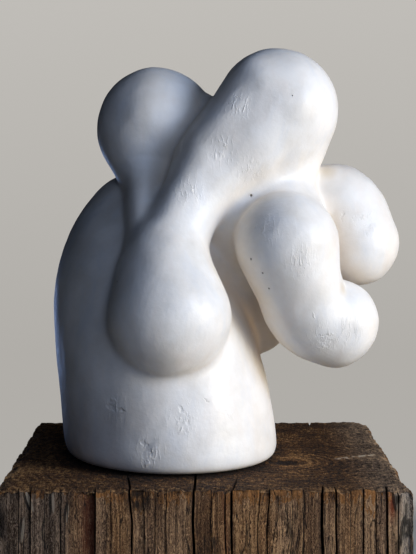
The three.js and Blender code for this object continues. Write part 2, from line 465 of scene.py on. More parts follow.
@dataclass(frozen=True)
class SmoothedPlaster:
    """Gypsum plaster, modelled and smoothed by hand under a satin white coat.

    The eye sees a warm off-white with faint blotches where the coat is thin, a soft broad sheen that
    breaks up over tool marks, small pinholes, and a warmer, darker tint down in the creases, which is
    painted shade and warm bounce light with a little dirt.
    """

    coat: str = "#f5f3f0"
    thin_coat: str = "#e6e2dc"
    warm_coat: str = "#f3ebe3"
    cool_coat: str = "#e1e5eb"
    # The crease colour is painted shade and warm bounce light, with a little dirt
    crease: str = "#efdabb"
    stain: str = "#dccaaa"
    pinhole: str = "#6b5d4b"
    pinhole_depth: float = 0.0012
    gouge_reach: float = 0.02
    roughness: float = 0.42
    roughness_sway: float = 0.08
    ior: float = 1.5

    def material(self, pits: Sequence[Mark], stains: Sequence[Mark],
                 gouges: Sequence[Gouge]) -> bpy.types.Material:
        """Builds the material.

        Args:
            pits: Pinholes seen in the skin.
            stains: Warm stains seen on the skin.
            gouges: Short marks of a tool seen in the skin.

        Returns:
            The material.
        """
        material, tree = blank_material("hand_smoothed_plaster_satin_white_coat")
        place = add_node(tree, "TexCoord").outputs["Object"]
        colour = self.coated(tree, place)
        for mark in stains:
            colour = self.spot(tree, place, mark, colour, self.stain, 0.0, 0.5)[0]
        holes = []
        for mark in pits:
            colour, hole = self.spot(tree, place, mark, colour, self.pinhole, 0.35, 0.9)
            holes.append(hole)
        depth = holes[0]
        for hole in holes[1:]:
            depth = add_node(tree, "Math", {"operation": "MAXIMUM"}, {0: depth, 1: hole})
        grain = add_node(tree, "TexNoise", {"Scale": 1 / 0.0035, "Detail": 3.0}, {"Vector": place})
        normal = self.tooled(tree, place, grain, gouges)
        pitted = add_node(tree, "Bump", {"Strength": 1.0, "Distance": self.pinhole_depth, "invert": True},
                          {"Height": depth, "Normal": normal})
        rough = add_node(tree, "MapRange", {"From Min": 0.3, "From Max": 0.7,
                                            "To Min": self.roughness - self.roughness_sway,
                                            "To Max": self.roughness + self.roughness_sway}, {"Value": grain})
        surface = add_node(tree, "BsdfPrincipled", {"IOR": self.ior},
                           {"Base Color": colour, "Roughness": rough, "Normal": pitted})
        add_node(tree, "OutputMaterial", {}, {"Surface": surface})
        return material

    def coated(self, tree: bpy.types.NodeTree, place: bpy.types.NodeSocket) -> bpy.types.Node:
        """The white coat: thin in 28 mm blotches, tinted by the brush, painted darker and warmer in the
        creases as shade, bounce light and a little dirt.

        Args:
            tree: The material's node tree.
            place: Socket with the place on the piece.

        Returns:
            The node that mixes the colour.
        """
        blotch = add_node(tree, "TexNoise", {"Scale": 1 / 0.028, "Detail": 4.0, "Roughness": 0.55},
                          {"Vector": place})
        spread = add_node(tree, "MapRange", {"From Min": 0.42, "From Max": 0.72, "To Max": 1.0},
                          {"Value": blotch})
        colour = add_node(tree, "Mix", {"data_type": "RGBA", UNDER: linear(self.coat),
                                        OVER: linear(self.thin_coat)}, {SHARE: spread})
        # Warm and cool blotches, 30 mm across and drawn down to 70 mm by the brush
        brushed = add_node(tree, "Mapping", {"Scale": (1 / 0.03, 1 / 0.03, 1 / 0.07)}, {"Vector": place})
        tint = add_node(tree, "TexNoise", {"Scale": 1.0, "Detail": 5.0, "Roughness": 0.6, "Distortion": 0.4},
                        {"Vector": brushed})
        # The last layer is the crease colour by the stored crease share: painted shade and warm bounce light
        # in the creases, with a little dirt
        layers = ((tint, 0.52, 0.75, 0.7, self.warm_coat), (tint, 0.48, 0.25, 0.7, self.cool_coat),
                  (stored(tree, "crease")[0], 0.15, 1.0, 0.36, self.crease))
        for source, low, high, most, tone in layers:
            share = add_node(tree, "MapRange", {"From Min": low, "From Max": high, "To Max": most},
                             {"Value": source})
            colour = add_node(tree, "Mix", {"data_type": "RGBA", OVER: linear(tone)},
                              {SHARE: share, UNDER: colour})
        return colour

    def tooled(self, tree: bpy.types.NodeTree, place: bpy.types.NodeSocket, grain: bpy.types.Node,
               gouges: Sequence[Gouge]) -> bpy.types.Node:
        """The skin's fine relief: grain, grit, scraped patches and the gouges of a tool.

        Args:
            tree: The material's node tree.
            place: Socket with the place on the piece.
            grain: The coat's grain, a noise of 3.5 mm.
            gouges: The gouges to press in.

        Returns:
            The node that gives the normal.
        """
        fine = add_node(tree, "TexNoise", {"Scale": 1 / 0.0009, "Detail": 2.0}, {"Vector": place})
        waves = add_node(tree, "Bump", {"Strength": 0.55, "Distance": 0.00035}, {"Height": grain})
        grit = add_node(tree, "Bump", {"Strength": 0.35, "Distance": 0.0001},
                        {"Height": fine, "Normal": waves})
        # Scrapes: a slanting noise of 2.4 mm by 7.5 mm, of which only the highest part stands out
        slant = add_node(tree, "Mapping", {"Rotation": (0.5, -0.4, 0.3),
                                           "Scale": (1 / 0.0024, 1 / 0.0024, 1 / 0.0075)}, {"Vector": place})
        scrape = add_node(tree, "TexNoise", {"Scale": 1.0, "Detail": 3.0, "Roughness": 0.6,
                                             "Distortion": 0.5}, {"Vector": slant})
        proud = add_node(tree, "MapRange", {"interpolation_type": "SMOOTHSTEP", "From Min": 0.5,
                                            "From Max": 0.68}, {"Value": scrape})
        scraped = add_node(tree, "Math", {"operation": "MULTIPLY"}, {0: proud, 1: stored(tree, "worked")[0]})
        normal = add_node(tree, "Bump", {"Strength": 1.0, "Distance": 0.00034},
                          {"Height": scraped, "Normal": grit})
        # The gouges' outlines are torn by a sway of up to 2 mm or so every 5 mm
        sway = add_node(tree, "TexNoise", {"Scale": 1 / 0.005, "Detail": 2.0}, {"Vector": place})
        centred = add_node(tree, "VectorMath", {"operation": "SUBTRACT", 1: (0.5, 0.5, 0.5)},
                           {0: sway.outputs["Color"]})
        torn = add_node(tree, "VectorMath", {"operation": "MULTIPLY_ADD", 1: (0.008, 0.008, 0.008)},
                        {0: centred, 2: place})
        for gouge in gouges:
            normal = self.gouged(tree, torn, gouge, normal)
        return normal

    def gouged(self, tree: bpy.types.NodeTree, place: bpy.types.Node, gouge: Gouge,
               normal: bpy.types.Node) -> bpy.types.Node:
        """Presses one gouge into the skin: a hollow that is deepest at its middle and has a soft lip.

        Args:
            tree: The material's node tree.
            place: Node with the place on the piece.
            gouge: Where it is and how large.
            normal: Node with the normal before it.

        Returns:
            The node that gives the normal after it.
        """
        centre = (gouge.x * MM, gouge.y * MM, (gouge.z + FIGURE_BASE) * MM)
        local = add_node(tree, "Mapping", {
            "vector_type": "TEXTURE", "Location": centre, "Rotation": (0.0, math.radians(gouge.lean), 0.0),
            "Scale": (gouge.width / 2 * MM, self.gouge_reach, gouge.length / 2 * MM)}, {"Vector": place})
        away = add_node(tree, "VectorMath", {"operation": "LENGTH"}, {0: local})
        hollow = add_node(tree, "MapRange", {"interpolation_type": "SMOOTHSTEP"}, {"Value": away})
        return add_node(tree, "Bump", {"Strength": 1.0, "Distance": gouge.depth * MM},
                        {"Height": hollow, "Normal": normal})

    def spot(self, tree: bpy.types.NodeTree, place: bpy.types.NodeSocket, mark: Mark, under: bpy.types.Node,
             colour: str, core: float, most: float) -> tuple[bpy.types.Node, bpy.types.Node]:
        """Lays one round spot over a colour.

        Args:
            tree: The material's node tree.
            place: Socket with the place on the piece.
            mark: Where the spot is and how large.
            under: Node with the colour beneath.
            colour: The spot's own colour.
            core: Share of its radius that is full.
            most: How much it covers at its middle.

        Returns:
            The nodes that give the new colour and the spot's cover.
        """
        centre = (mark.x * MM, mark.y * MM, (mark.z + FIGURE_BASE) * MM)
        away = add_node(tree, "VectorMath", {"operation": "DISTANCE", 1: centre}, {0: place})
        cover = add_node(tree, "MapRange", {
            "interpolation_type": "SMOOTHSTEP", "From Min": mark.radius * core * MM,
            "From Max": mark.radius * MM, "To Min": most, "To Max": 0.0}, {"Value": away})
        mixed = add_node(tree, "Mix", {"data_type": "RGBA", OVER: linear(colour)},
                         {SHARE: cover, UNDER: under})
        return mixed, cover


@dataclass
class PlasterFigure:
    """The head: one plaster figure of swelling lobes, with the hand's unevenness in its skin.

    Its skin is where a blended distance is zero, which no grid of two parameters follows over its
    branches, so it is drawn as a net of quads round that distance and then set onto it.

    Attributes:
        finish: Its plaster.
        cell: Lattice spacing of the net.
        undulations: Size and height of each of the skin's broad waves.
        stroke: Height of the fine strokes all over.
        sweep: Height of the knife's upright sweeps.
        patch_stroke: Extra height of the strokes in a worked patch.
        patch_reach: Radius of a worked patch.
        dent: The one dent in the front right lobe.
        dent_depth: Its depth.
        patches: x, y and height above the timber of the worked patches' middles.
        pits: Pinholes.
        stains: Warm stains.
        gouges: Short marks of a tool.
    """

    finish: SmoothedPlaster = field(default_factory=SmoothedPlaster)
    cell: float = 2.2
    quick_cell: float = 4.4
    undulations: tuple[tuple[float, float], ...] = ((44.0, 0.9), (21.0, 0.44), (10.0, 0.13))
    stroke: float = 0.09
    sweep: float = 0.26
    patch_stroke: float = 0.4
    patch_reach: float = 11.0
    dent: Mark = Mark(79.7, -96.9, 128.7, 5.0)
    dent_depth: float = 0.8
    patches: tuple[tuple[float, float, float], ...] = (
        (-71.4, -82.2, 51.5), (-14.9, -98, 47.4), (-44.2, -93.5, 20.5), (38.8, -70.9, 244.6),
        (79.5, -101.9, 171.3), (99.4, -87.5, 108.6), (136.9, -26.6, 199.8), (28.2, -67, 296.7),
        (-10, -83.7, 228.5), (47.8, -95.7, 195), (15.9, -76.1, 260.8), (120.3, -81, 114.5))
    pits: tuple[Mark, ...] = (
        Mark(40.3, -53.3, 223.9, 1.5), Mark(39.5, -89.6, 173.6, 1.5), Mark(48.4, -93.9, 161.6, 1.2),
        Mark(53.4, -93.7, 147.6, 1.1), Mark(73.6, -71.4, 303.7, 0.8), Mark(-69.1, -100.5, 155.6, 0.9))
    stains: tuple[Mark, ...] = (Mark(115.3, -71, 147.2, 9.0), Mark(106, -7.6, 242.8, 14.0))
    gouges: tuple[Gouge, ...] = (
        Gouge(-74.5, -82, 53, 12, 6.9, -58, 0.59), Gouge(-66.5, -82, 51.5, 14, 5.4, -66, 0.51),
        Gouge(-71, -82, 58.5, 9, 3.9, -50, -0.34), Gouge(-47, -93.5, 26, 10, 6, -35, 0.42),
        Gouge(-41.5, -93.5, 19.5, 11, 5.4, 20, 0.42), Gouge(-44.5, -93.5, 11, 9, 5.1, 8, -0.34),
        Gouge(-16.5, -98, 53.5, 11, 4.8, -30, 0.34), Gouge(-12, -98, 45, 12, 5.1, 12, 0.38),
        Gouge(-17.5, -98, 37, 10, 4.5, 4, -0.3), Gouge(22, -98, 48, 14, 6, -24, -0.26),
        Gouge(91, -92, 127.5, 3, 6, 80, -0.59), Gouge(99, -88, 110, 22, 3, 86, 0.3),
        Gouge(102, -86, 104.5, 26, 3, 84, 0.26), Gouge(96, -86, 98.5, 20, 2.7, 88, -0.26),
        Gouge(118, -22, 205, 16, 3.3, 14, 0.34), Gouge(3, -98, 60, 3, 2.4, 0, 0.34))

    def skin(self) -> tuple[np.ndarray, np.ndarray, np.ndarray]:
        """Draws the smooth skin: a net round the blended distance, evened and set onto it.

        Returns:
            Points above the timber's top, outward directions, and quads.
        """
        step = self.cell
        balls = np.vstack([np.array(lobe.stations, dtype=np.float64) for lobe in LOBES])
        low = (balls[:, :3] - balls[:, 3:]).min(axis=0) - 3 * step
        high = (balls[:, :3] + balls[:, 3:]).max(axis=0) + 3 * step
        low[2] = -3 * step
        cells = (np.ceil((high - low) / (4 * step)).astype(int) + 1) * 4
        points, quads = net_of(sampled_field(low, cells, step), low, step)
        points, quads = largest_shell(points, quads)
        for _ in range(3):
            points = evened(points, quads, 0.5)
            points, _directions = settled(points)
        points, directions = settled(points)
        return points, directions, quads

    def worked(self, points: np.ndarray) -> np.ndarray:
        """How scraped the skin is: 1 at the middle of each worked patch, fading out round it in a bell."""
        share = np.zeros(len(points))
        for x, y, z in self.patches:
            on_skin = np.array([x, self.nearest((x, y, z), points)[1], z])
            away = np.linalg.norm(points - on_skin, axis=1)
            share = np.maximum(share, np.exp(-(away / self.patch_reach) ** 2))
        return share

    def relief(self, points: np.ndarray, worked: np.ndarray) -> np.ndarray:
        """Height of the hand's unevenness over the smooth skin.

        Broad waves of three sizes, upright sweeps of the knife, shallow strokes drawn out along one
        slanting direction and deeper in the worked patches, and one dent, all fading out at the foot.

        Args:
            points: Points on the smooth skin.
            worked: How scraped the skin is there.

        Returns:
            Heights in millimetres.
        """
        slanted = turned(points, 33)[:, [0, 2, 1]]
        height = np.zeros(len(points))
        for i, (size, rise) in enumerate(self.undulations):
            height += rise * noise(slanted, size, 11 + i)
        along = points @ np.array([[0.8, 0.1, 0.5], [0.0, 0.97, -0.2], [-0.6, 0.2, 0.8]])
        strokes = noise(along, (5.5, 5.5, 21.0), 31)
        height += self.sweep * noise(points, (17.0, 17.0, 58.0), 33)
        height += (self.stroke + self.patch_stroke * worked) * strokes
        away = np.linalg.norm(points - [self.dent.x, self.dent.y, self.dent.z], axis=1)
        height -= self.dent_depth * np.exp(-(away / self.dent.radius) ** 2)
        return height * smooth_step(1.0, 12.0, points[:, 2])

    def creases(self, points: np.ndarray, directions: np.ndarray) -> np.ndarray:
        """How closed in the skin is, near by and further off: how much nearer skin is than in open air."""
        shut = [1 - figure_distance(points + directions * reach) / reach for reach in (12.0, 34.0)]
        return np.clip(np.maximum(shut[0], 0.8 * shut[1]), 0.0, 1.0)

    def build(self) -> bpy.types.Object:
        """Builds and dresses the figure, and reports it."""
        points, directions, quads = self.skin()
        gouges = [replace(gouge, y=float(self.nearest((gouge.x, gouge.y, gouge.z), points)[1]))
                  for gouge in self.gouges]
        pits = [Mark(*map(float, self.nearest((pit.x, pit.y, pit.z), points)), pit.radius)
                for pit in self.pits]
        worked = self.worked(points)
        shown = points + directions * self.relief(points, worked)[:, None]
        shown[:, 2] = np.maximum(shown[:, 2], 0.0) + FIGURE_BASE
        material = self.finish.material(pits, self.stains, gouges)
        piece = mesh_object("plaster_head", shown, quads.tolist(), [material])
        piece.data.shade_smooth()
        # The crease share drives the painted shade and bounce light in the creases
        add_values(piece.data, "crease", self.creases(points, directions))
        add_values(piece.data, "worked", worked)
        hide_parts("plaster_figure")
        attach(piece, "root")
        LOG.info("%s: %d points, %d quads", piece.name, len(points), len(quads))
        return piece

    def nearest(self, place: tuple[float, float, float], points: np.ndarray) -> np.ndarray:
        """The skin's point nearest to a place, looked for more freely back to front than sideways."""
        away = np.linalg.norm((points - place) * [1.0, 0.3, 1.0], axis=1)
        return points[away.argmin()]


# The timber

class Face(Enum):
    """A side of the block, by how far the front is turned to reach it."""

    FRONT = 0
    RIGHT = 90
    BACK = 180
    LEFT = 270


@dataclass(frozen=True)
class Split:
    """A drying split or crack: a wedge of air that opens on one side and runs over onto the top.

    Attributes:
        at: Where it opens, in millimetres to the right of its face's middle.
        mouth: Its width there.
        depth: How far in it goes from the face.
        reach: How far back it runs over the top.
        drop: How deep it is at the top's edge.
        drift: How far it has moved to the right at the end of its reach.
    """

    at: float
    mouth: float
    depth: float
    reach: float
    drop: float
    drift: float = 0.0


def crack(at: float, mouth: float) -> Split:
    """A fine crack between two strips of grain, which only nicks the top."""
    return Split(at, mouth, mouth * 3.2, 5.0, mouth * 1.8)


@dataclass(frozen=True)
class Splinter:
    """A pale sliver standing off the front, seen as a narrow leaning ellipse with painted shadow at its left.

    Attributes:
        x: Middle, across the front.
        level: Middle, above the block's underside.
        half_width: Half its width.
        half_length: Half its length.
        lean: Degrees that its top leans to the left.
    """

    x: float
    level: float
    half_width: float
    half_length: float
    lean: float


SPLINTERS = (Splinter(-133.6, 150.5, 1.5, 8.5, 21.0), Splinter(-115.4, 149.0, 1.1, 8.0, 3.0),
             Splinter(-138.5, 128.0, 1.2, 10.0, -6.0), Splinter(-104.0, 141.0, 0.9, 7.0, -4.0),
             Splinter(150.2, 150.0, 1.5, 8.5, 8.0), Splinter(155.6, 126.0, 1.4, 11.0, -5.0))

# The front's split that bends to the left near the top, and the one with rust beside it
BENT_SPLIT, RUSTY_SPLIT = -53.8, 18.6

SPLITS: dict[Face, tuple[Split, ...]] = {
    Face.FRONT: (
        Split(-142, 1.0, 5, 9, 4), Split(-132.8, 1.2, 7, 14, 6), crack(-122, 0.9),
        Split(-109.5, 1.1, 4, 6, 3), Split(-82.5, 1.6, 5, 8, 4), crack(-70, 0.8),
        Split(BENT_SPLIT, 1.8, 17, 68, 12, -8.0), crack(-44, 0.7), Split(-35.7, 1.0, 4, 6, 2),
        crack(-27, 0.9), Split(-5.8, 2.3, 20, 100, 15), Split(8, 0.8, 3, 4, 2),
        Split(RUSTY_SPLIT, 1.6, 4, 6, 3), Split(23.4, 2.0, 16, 56, 11, 5.0), Split(44.6, 0.9, 4, 6, 3),
        Split(51.9, 1.3, 6, 8, 4), crack(68, 0.8), crack(78, 0.9), Split(93.1, 2.4, 17, 22, 10, 3.0),
        Split(104, 1.7, 12, 16, 7, -3.0), crack(115, 0.8), Split(124.7, 1.1, 4, 6, 3), crack(134, 0.9),
        Split(142.4, 2.0, 13, 18, 8), crack(151, 1.3)),
    Face.RIGHT: (
        crack(-146, 1.2), crack(-131, 1.0), crack(-113, 0.8), Split(-89.6, 2.4, 14, 34, 9),
        crack(-72, 0.9), crack(-50, 1.0), crack(-30, 0.8), crack(-9, 1.1), Split(16, 3.2, 19, 74, 14, 4.0),
        crack(34, 0.8), crack(58, 1.0), crack(81, 0.9), Split(105.6, 2.4, 14, 30, 9, -3.0),
        crack(124, 0.8), crack(141, 1.1)),
    Face.BACK: (
        crack(-143, 1.1), crack(-124, 0.9), Split(-105.6, 2.4, 14, 30, 9, 4.0), crack(-84, 0.8),
        crack(-66, 1.1), crack(-43, 0.9), Split(-19.2, 3.4, 20, 86, 15, -6.0), crack(3, 0.8),
        crack(24, 1.0), crack(47, 0.9), Split(70.4, 2.8, 16, 48, 11, 3.0), crack(93, 0.9),
        crack(112, 1.1), crack(132, 0.8), crack(147, 1.0)),
    Face.LEFT: (
        crack(-145, 1.0), crack(-126, 1.2), crack(-101, 0.8), crack(-83, 1.0),
        Split(-64, 2.6, 15, 42, 10, -4.0), crack(-40, 0.9), crack(-18, 1.0), crack(6, 0.8),
        crack(22, 0.9), Split(38.4, 3.2, 18, 66, 13, 5.0), crack(60, 0.9), crack(86, 1.1),
        crack(108, 0.8), crack(129, 1.0), crack(146, 1.2)),
}


@dataclass(frozen=True)
class SideGrain:
    """Old oak's side grain, sawn long ago and weathered dry without any finish.

    The eye sees matt brown strips between dark cracks, broken up by short wavy fibres from light tan
    to nearly black, and silver grey where rain has taken the colour out.
    """

    dark: str = "#2a1b0d"
    mid: str = "#6b4a2e"
    light: str = "#bc9264"
    silver: str = "#c6bfb3"
    rust: str = "#7c3517"
    splinter: str = "#988c7c"
    torn: str = "#1d1008"
    torn_light: str = "#a9733f"
    # The gap colour is painted shade, laid into the splits, the hair cracks, the hollows and beside the
    # splinters
    gap: str = "#060504"
    roughness: float = 0.84
    ior: float = 1.5

    def material(self) -> bpy.types.Material:
        """Builds the material from the strips, cracks and greys stored on the piece and its own map."""
        material, tree = blank_material("weathered_oak_side_grain")
        flat = add_node(tree, "UVMap", {"uv_map": "along_grain"})
        # Curly flecks of 1.6 mm by 5 mm, streaks of 2.4 mm by 70 mm, and hair cracks 8 mm apart, drawn as
        # lines of painted shade
        sizes = ((0.0016, 0.0050, 3.0, 0.7, 1.9), (0.0024, 0.070, 3.0, 0.6, 0.15),
                 (0.008, 0.11, 4.0, 0.45, 0.1))
        patterns = []
        for wide, tall, detail, rough, bend in sizes:
            place = add_node(tree, "Mapping", {"Scale": (1 / wide, 1 / tall, 1)}, {"Vector": flat})
            patterns.append(add_node(tree, "TexNoise", {
                "noise_dimensions": "2D", "Scale": 1.0, "Detail": detail, "Roughness": rough,
                "Distortion": bend}, {"Vector": place}))
        flecks, streaks, veins = patterns
        strip, grey, gap, rust, reach = stored(tree, "strip", "grey", "gap", "rust", "reach")
        off = add_node(tree, "Math", {"operation": "SUBTRACT", 1: 0.5}, {0: veins})
        near = add_node(tree, "Math", {"operation": "ABSOLUTE"}, {0: off})
        hair = add_node(tree, "MapRange", {"interpolation_type": "SMOOTHSTEP", "From Min": 0.004,
                                           "From Max": 0.016, "To Min": 0.85, "To Max": 0.0}, {"Value": near})
        grain = add_node(tree, "Math", {"operation": "MULTIPLY_ADD", 1: 0.6}, {0: streaks, 2: flecks})
        tone = add_node(tree, "Math", {"operation": "MULTIPLY_ADD", 1: 0.075}, {0: strip, 2: grain})
        ramp = add_node(tree, "MapRange", {"From Min": 0.58, "From Max": 1.02}, {"Value": tone})
        low = add_node(tree, "MapRange", {"From Max": 0.5}, {"Value": ramp})
        high = add_node(tree, "MapRange", {"From Min": 0.5}, {"Value": ramp})
        dark = add_node(tree, "Mix", {"data_type": "RGBA", UNDER: linear(self.dark), OVER: linear(self.mid)},
                        {SHARE: low})
        brown = add_node(tree, "Mix", {"data_type": "RGBA", OVER: linear(self.light)},
                         {SHARE: high, UNDER: dark})
        washed = add_node(tree, "Mix", {"data_type": "RGBA", UNDER: linear(self.dark),
                                        OVER: linear(self.silver)}, {SHARE: ramp})
        weathered = add_node(tree, "Mix", {"data_type": "RGBA"}, {SHARE: grey, UNDER: brown, OVER: washed})
        warm = add_node(tree, "Mix", {"data_type": "RGBA", OVER: linear(self.rust)},
                        {SHARE: rust, UNDER: weathered})
        fibres = add_node(tree, "Mix", {"data_type": "RGBA", UNDER: linear(self.torn),
                                        OVER: linear(self.torn_light)}, {SHARE: ramp})
        colour = add_node(tree, "Mix", {"data_type": "RGBA"},
                          {SHARE: self.fringe(tree, flat, reach), UNDER: warm, OVER: fibres})
        for splinter in SPLINTERS:
            colour = self.splintered(tree, flat, colour, splinter)
        # Painted shade: the near-black gap colour down the splits and hollows and along the hair cracks
        shut = add_node(tree, "Math", {"operation": "MAXIMUM"}, {0: gap, 1: hair})
        colour = add_node(tree, "Mix", {"data_type": "RGBA", OVER: linear(self.gap)},
                          {SHARE: shut, UNDER: colour})
        raised = add_node(tree, "Math", {"operation": "SUBTRACT"}, {0: grain, 1: hair})
        bump = add_node(tree, "Bump", {"Strength": 1.0, "Distance": 0.002}, {"Height": raised})
        surface = add_node(tree, "BsdfPrincipled",
                           {"Roughness": self.roughness, "IOR": self.ior, "Specular IOR Level": 0.3},
                           {"Base Color": colour, "Normal": bump})
        add_node(tree, "OutputMaterial", {}, {"Surface": surface})
        return material

    def fringe(self, tree: bpy.types.NodeTree, flat: bpy.types.Node,
               reach: bpy.types.NodeSocket) -> bpy.types.Node:
        """Where the ends are torn: down to a ragged line below the top, in jags of 3 mm by 7 mm.

        Args:
            tree: The material's node tree.
            flat: Node with the place along the grain.
            reach: How far down the torn ends reach, in metres.

        Returns:
            The node that gives the share of torn fibres.
        """
        level = add_node(tree, "SeparateXYZ", {}, {"Vector": flat}).outputs["Y"]
        place = add_node(tree, "Mapping", {"Scale": (1 / 0.003, 1 / 0.007, 1)}, {"Vector": flat})
        jag = add_node(tree, "TexNoise", {"noise_dimensions": "2D", "Scale": 1.0, "Detail": 2.0,
                                          "Distortion": 0.8}, {"Vector": place})
        ragged = add_node(tree, "MapRange", {"From Min": 0.25, "From Max": 0.75, "To Max": 2.0},
                          {"Value": jag})
        down = add_node(tree, "Math", {"operation": "MULTIPLY_ADD"}, {0: reach, 1: ragged, 2: level})
        top, blur = TimberPlinth.height * MM, 0.0006
        return add_node(tree, "MapRange", {"From Min": top - blur, "From Max": top + blur, "To Max": 0.95},
                        {"Value": down})

    def splintered(self, tree: bpy.types.NodeTree, flat: bpy.types.Node, under: bpy.types.Node,
                   splinter: Splinter) -> bpy.types.Node:
        """Lays one pale splinter and the painted shadow beside it over a colour.

        Args:
            tree: The material's node tree.
            flat: Node with the place along the grain, in metres from the front's left corner.
            under: Node with the colour beneath.
            splinter: Where it lies on the front.

        Returns:
            The node that gives the new colour.
        """
        from_corner = splinter.x + TimberPlinth.half
        # The first pass is the painted shadow at the splinter's left, in the gap colour
        for shift, colour, most in ((-2.2, self.gap, 0.8), (0.0, self.splinter, 0.75)):
            place = add_node(tree, "Mapping", {
                "vector_type": "TEXTURE", "Location": ((from_corner + shift) * MM, splinter.level * MM, 0.0),
                "Rotation": (0.0, 0.0, math.radians(splinter.lean)),
                "Scale": (splinter.half_width * MM, splinter.half_length * MM, 1.0)}, {"Vector": flat})
            away = add_node(tree, "VectorMath", {"operation": "LENGTH"}, {0: place})
            share = add_node(tree, "MapRange", {"From Min": 0.85, "From Max": 1.1, "To Min": most,
                                                "To Max": 0.0}, {"Value": away})
            under = add_node(tree, "Mix", {"data_type": "RGBA", OVER: linear(colour)},
                             {SHARE: share, UNDER: under})
        return under


@dataclass(frozen=True)
class EndGrain:
    """The block's sawn end, its pores open and its colour darkened by dirt.

    The eye sees a nearly black brown, speckled by pores and torn fibres, with faint growth rings round
    the heart of the tree and pale dusty streaks.
    """

    dark: str = "#150b04"
    mid: str = "#56371a"
    light: str = "#9c7446"
    silver: str = "#c9bda8"
    # The gap colour is painted shade, laid into the splits on the top
    gap: str = "#050403"
    ring_width: float = 7.6
    roughness: float = 0.88
    ior: float = 1.5

    def material(self, heart: tuple[float, float]) -> bpy.types.Material:
        """Builds the material.

        Args:
            heart: x and y of the growth rings' middle, in millimetres.

        Returns:
            The material.
        """
        material, tree = blank_material("weathered_oak_end_grain")
        place = add_node(tree, "TexCoord").outputs["Object"]
        flat = add_node(tree, "VectorMath", {"operation": "MULTIPLY", 1: (1.0, 1.0, 0.0)}, {0: place})
        middle = (heart[0] * MM, heart[1] * MM, 0.0)
        away = add_node(tree, "VectorMath", {"operation": "DISTANCE", 1: middle}, {0: flat})
        # The rings sway by up to 12 mm over 30 mm
        sway = add_node(tree, "TexNoise", {"Scale": 1 / 0.03, "Detail": 3.0}, {"Vector": place})
        swayed = add_node(tree, "Math", {"operation": "MULTIPLY_ADD", 1: 0.012}, {0: sway, 2: away})
        count = add_node(tree, "Math", {"operation": "MULTIPLY", 1: 2 * math.pi / (self.ring_width * MM)},
                         {0: swayed})
        rings = add_node(tree, "Math", {"operation": "SINE"}, {0: count})
        # Torn fibres of 4 mm, and rows of pores 1.4 mm across and 6 mm from front to back
        torn = add_node(tree, "TexNoise", {"Scale": 1 / 0.004, "Detail": 4.0, "Roughness": 0.7,
                                           "Distortion": 0.8}, {"Vector": place})
        rows = add_node(tree, "Mapping", {"Scale": (1 / 0.0014, 1 / 0.006, 1 / 0.006)}, {"Vector": place})
        pores = add_node(tree, "TexNoise", {"Scale": 1.0, "Detail": 2.0, "Distortion": 0.6}, {"Vector": rows})
        strip, grey, gap = stored(tree, "strip", "grey", "gap")
        ringing = add_node(tree, "MapRange", {"From Min": 0.02, "From Max": 0.085, "To Min": 0.07,
                                              "To Max": 0.03}, {"Value": away})
        rough = add_node(tree, "Math", {"operation": "MULTIPLY_ADD", 1: 0.6}, {0: pores, 2: torn})
        ringed = add_node(tree, "Math", {"operation": "MULTIPLY_ADD"}, {0: rings, 1: ringing, 2: rough})
        tone = add_node(tree, "Math", {"operation": "MULTIPLY_ADD", 1: 0.1}, {0: strip, 2: ringed})
        ramp = add_node(tree, "MapRange", {"From Min": 0.62, "From Max": 1.02}, {"Value": tone})
        low = add_node(tree, "MapRange", {"From Max": 0.6}, {"Value": ramp})
        high = add_node(tree, "MapRange", {"From Min": 0.6}, {"Value": ramp})
        dusty = add_node(tree, "Math", {"operation": "MULTIPLY"}, {0: grey, 1: ramp})
        colour = add_node(tree, "Mix", {"data_type": "RGBA", UNDER: linear(self.dark),
                                        OVER: linear(self.mid)}, {SHARE: low})
        # The gap colour down the splits is painted shade
        for share, over in ((high, self.light), (dusty, self.silver), (gap, self.gap)):
            colour = add_node(tree, "Mix", {"data_type": "RGBA", OVER: linear(over)},
                              {SHARE: share, UNDER: colour})
        bump = add_node(tree, "Bump", {"Strength": 1.0, "Distance": 0.0016}, {"Height": ringed})
        surface = add_node(tree, "BsdfPrincipled",
                           {"Roughness": self.roughness, "IOR": self.ior, "Specular IOR Level": 0.3},
                           {"Base Color": colour, "Normal": bump})
        add_node(tree, "OutputMaterial", {}, {"Surface": surface})
        return material


@dataclass(frozen=True)
class Columns:
    """The upright columns of points round the block, from its front left corner round by the right.

    Attributes:
        ring: x and y of each, on the square block.
        along: Place of each along its own side, seen from outside.
        side: Number of the side that each is on, in the order of Face.
    """

    ring: np.ndarray
    along: np.ndarray
    side: np.ndarray

    def on(self, face: Face) -> np.ndarray:
        """Which columns are on a side."""
        return self.side == list(Face).index(face)


